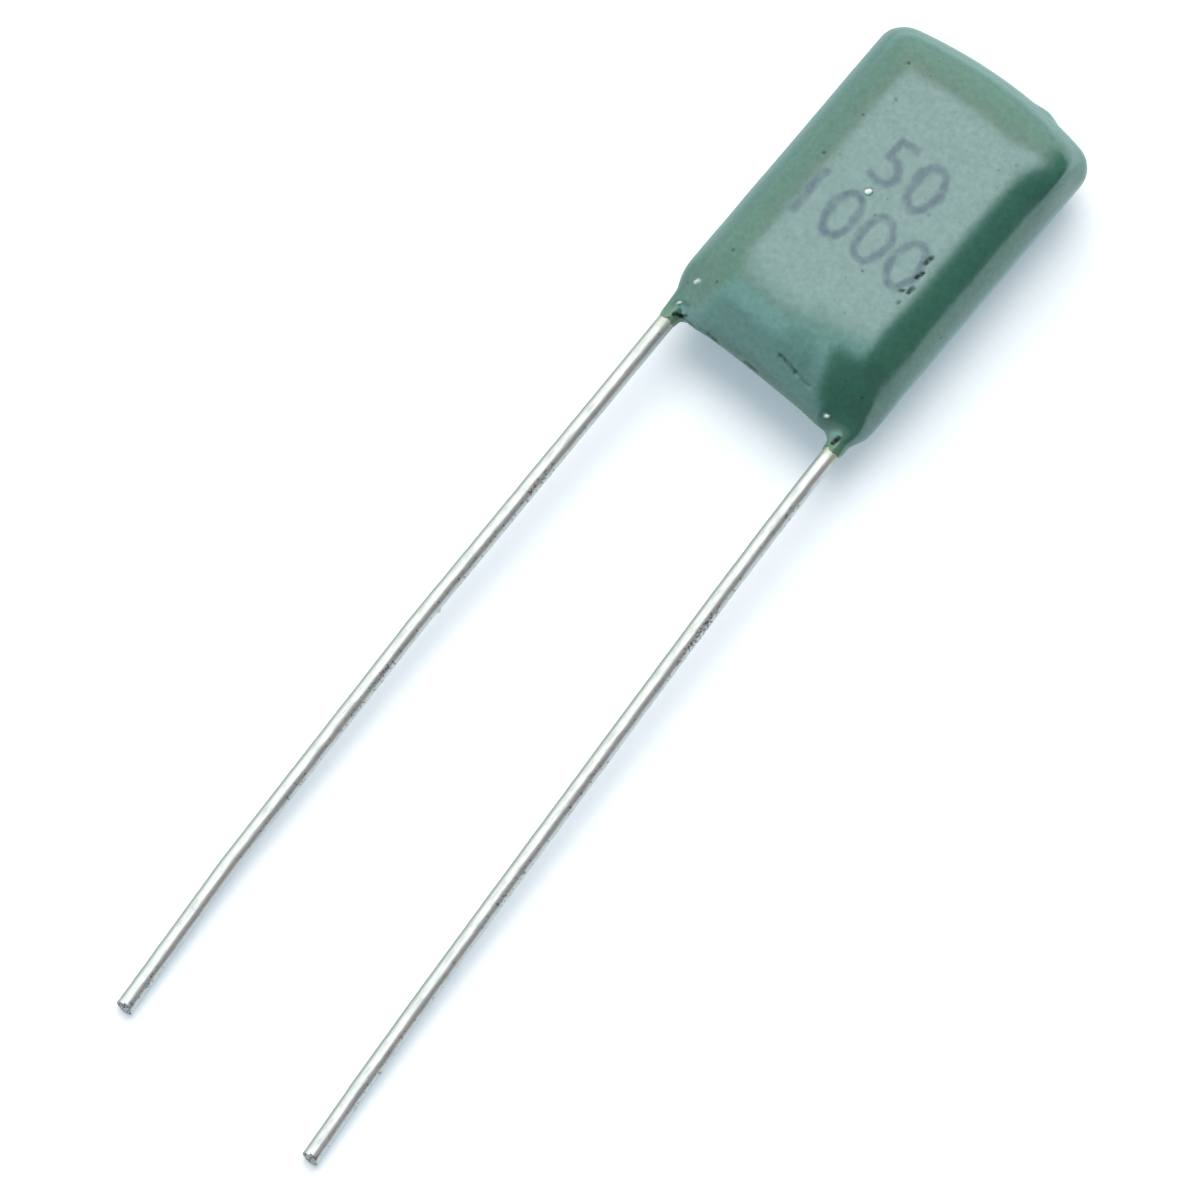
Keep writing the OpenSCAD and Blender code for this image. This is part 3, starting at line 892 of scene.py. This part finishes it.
        places = KDTree(len(skin.data.vertices))
        for vertex in skin.data.vertices:
            places.insert(vertex.co, vertex.index)
        places.balance()
        heights, dirt_shade_glints = {}, [0.0] * len(skin.data.vertices)
        for start, end, reach, height, tone in strokes:
            start, end = drop(start), drop(end)
            for co, index, _ in places.find_range((start + end) / 2, reach + (end - start).length / 2):
                along = geometry.intersect_point_line(co, start, end)[1]
                away = (co - start.lerp(end, min(1, max(0, along)))).length / reach
                share = max(0, 1 - away * away)
                heights[index] = heights.get(index, 0) + height * share
                if abs(tone * share) > abs(dirt_shade_glints[index]):
                    dirt_shade_glints[index] = tone * share
        most = max(abs(height) for *_, height, _ in strokes)
        for way in (1, -1):
            press(skin, "NORMAL", way * most, lambda v: way * heights.get(v.index, 0) / most)
        skin.data.attributes.new("fleck", "FLOAT", "POINT").data.foreach_set("value", dirt_shade_glints)


class CAPACITOR_OT_marking(bpy.types.Operator):
    """Stamps two lines of plain figures on the coating, as cover of ink on its skin"""
    bl_idname = "capacitor.marking"
    bl_label = "Marking"

    def execute(self, context):
        marking = context.scene.capacitor.marking
        coat = bpy.data.objects.get("dipped_coating")
        if coat is None:
            raise RuntimeError("The coating comes before its marking")
        stamps = []
        for text, left_end, right_end, foot in (
                (marking.line_1, -1.13, 1.03, 0.07), (marking.line_2, -2.11, 1.96, -1.99)):
            start_clean()
            bpy.ops.object.text_add()
            line = context.object
            line.data.body = text
            bpy.ops.object.convert(target="MESH")
            corners = [Vector(c) for c in line.bound_box]
            left = min(c.x for c in corners)
            right = max(c.x for c in corners)
            base = min(c.y for c in corners)
            top = max(c.y for c in corners)
            wide = (right_end - left_end) * MM / (right - left)
            tall = marking.figure_height / (top - base)
            line.scale = (wide, tall, 1)
            line.location = (
                left_end * MM - left * wide, foot * MM - base * tall, 2 * COAT_HIGH.z * MM)
            bpy.ops.object.transform_apply(location=True, rotation=True, scale=True)
            stamps.append(line)
        take(stamps[0])
        for line in stamps[1:]:
            line.select_set(True)
        bpy.ops.object.join()
        stamp = stamps[0]
        tree = BVHTree.FromObject(stamp, context.evaluated_depsgraph_get())
        noise.seed_set(marking.wobble_seed)
        up = Vector((0, 0, 1))
        taps = [Vector((x, y, 0)) * marking.blur for x in (-1, 0, 1) for y in (-1, 0, 1)]
        cover = []
        for vertex in coat.data.vertices:
            share = 0.0
            if vertex.normal.z > 0.5:
                start = vertex.co + noise.noise_vector(vertex.co / marking.wobble_size) * marking.wobble
                share = sum(tree.ray_cast(start + tap, up)[0] is not None for tap in taps) / len(taps)
            cover.append(share)
        ink = coat.data.attributes.new("ink", "FLOAT", "POINT")
        ink.data.foreach_set("value", cover)
        take(stamp)
        bpy.ops.object.delete()
        return {"FINISHED"}


class CAPACITOR_OT_leads(bpy.types.Operator):
    """Draws the two tinned wire leads along their routes"""
    bl_idname = "capacitor.leads"
    bl_label = "Leads"

    def execute(self, context):
        leads = context.scene.capacitor.leads
        tin, raw = tinned_wire(leads), sheared_metal(leads)
        for side in ("left", "right"):
            mount = MOUNTS[side + "_lead"]
            tip = Vector(mount["pos_m"]) / MM
            along = Vector(mount["axis"]).normalized()
            leave = Vector((LEAD_X[side], COAT_LOW.y, HALF_T))
            route = [leave + Vector((0, leads.buried / MM, 0)), leave]
            if side == "left":
                route += [Vector(leads.left_bend) / MM, tip - along * mount["dims"]["length_mm"]]
            else:
                # The bow is flat over the middle, so its points stand closer near its ends
                for share in (0.05, 0.12, 0.2, 0.35, 0.65, 0.8, 0.9):
                    aside = Vector((leads.bow / MM, 0, 0)) * (1 - (2 * share - 1) ** 4)
                    route.append(leave.lerp(tip, share) - aside)
            route.append(tip)
            wire = self.draw_wire(context, leads, route)
            if side == "left":
                coax(wire, Vector(leads.burr_height) / MM, leads.burr_reach / MM, Vector(leads.burr) / MM)
            raw_faces = [f.index for f in wire.data.polygons if f.material_index]
            finish_piece(wire, "wire_" + side, "tinned_wire", tin, "lead_" + side)
            wire.data.materials.append(raw)
            for index in raw_faces:
                wire.data.polygons[index].material_index = 1
        return {"FINISHED"}

    def draw_wire(self, context, leads, route):
        """A round wire extruded ring by ring, with a sheared end."""
        start_clean()
        bpy.ops.mesh.primitive_circle_add(
            vertices=leads.sides, radius=LEAD_R, fill_type="NGON", location=route[0],
            rotation=(math.pi / 2, 0, 0))
        wire = context.object
        bpy.ops.object.transform_apply(location=True, rotation=True, scale=True)
        bpy.ops.object.mode_set(mode="EDIT")
        for start, end in zip(route, route[1:]):
            steps = max(1, round((end - start).length / (leads.ring_step / MM)))
            for _ in range(steps):
                bpy.ops.mesh.extrude_region_move(TRANSFORM_OT_translate={"value": (end - start) / steps})

        # The cutter squeezed the end, sheared it at a slant and left a step inside its edge
        end = route[-1]
        squeeze = (1.05, 1, 0.9)
        edge_width, step_width, step_height = 0.03, 0.08, 0.02
        bpy.ops.transform.resize(value=squeeze, center_override=end)
        bpy.ops.transform.rotate(value=leads.shear, orient_axis="X", center_override=end)
        bpy.ops.mesh.inset(thickness=edge_width)
        bpy.ops.mesh.inset(thickness=step_width, depth=step_height)
        bpy.ops.mesh.select_all(action="SELECT")
        bpy.ops.mesh.normals_make_consistent(inside=False)
        bpy.ops.object.mode_set(mode="OBJECT")
        for face in wire.data.polygons:
            face.material_index = int((face.center - end).length < LEAD_R and abs(face.normal.y) > 0.5)
        uneven = bpy.data.textures.new("uneven", "CLOUDS")
        uneven.noise_scale = leads.uneven_size / MM
        apply(
            wire, "DISPLACE", texture=uneven, texture_coords="LOCAL", mid_level=0.5,
            strength=leads.uneven / MM)
        return wire


class CAPACITOR_OT_winding(bpy.types.Operator):
    """Gives the winding inside its film and foil"""
    bl_idname = "capacitor.winding"
    bl_label = "Winding"

    def execute(self, context):
        materials = frame["nodes"]["winding"].data.materials
        materials.clear()
        materials.append(wound_film(context.scene.capacitor.winding))
        return {"FINISHED"}


class CAPACITOR_PT_panel(bpy.types.Panel):
    bl_idname = "CAPACITOR_PT_panel"
    bl_label = "Capacitor"
    bl_space_type = "VIEW_3D"
    bl_region_type = "UI"
    bl_category = "Capacitor"

    def draw(self, context):
        for operator in STEPS:
            self.layout.operator(operator.bl_idname)


STEPS = (
    CAPACITOR_OT_stage, CAPACITOR_OT_coating, CAPACITOR_OT_marking, CAPACITOR_OT_leads, CAPACITOR_OT_winding)
CLASSES = (
    CoatingSettings, LeadSettings, MarkingSettings, WindingSettings, StageSettings, CapacitorSettings,
    *STEPS, CAPACITOR_PT_panel)


def register():
    for cls in CLASSES:
        bpy.utils.register_class(cls)
    bpy.types.Scene.capacitor = bpy.props.PointerProperty(type=CapacitorSettings)


def unregister():
    del bpy.types.Scene.capacitor
    for cls in reversed(CLASSES):
        bpy.utils.unregister_class(cls)


def main():
    register()
    bpy.ops.capacitor.stage()
    bpy.ops.capacitor.coating()
    bpy.ops.capacitor.marking()
    bpy.ops.capacitor.leads()
    bpy.ops.capacitor.winding()


if __name__ == "__main__":
    main()
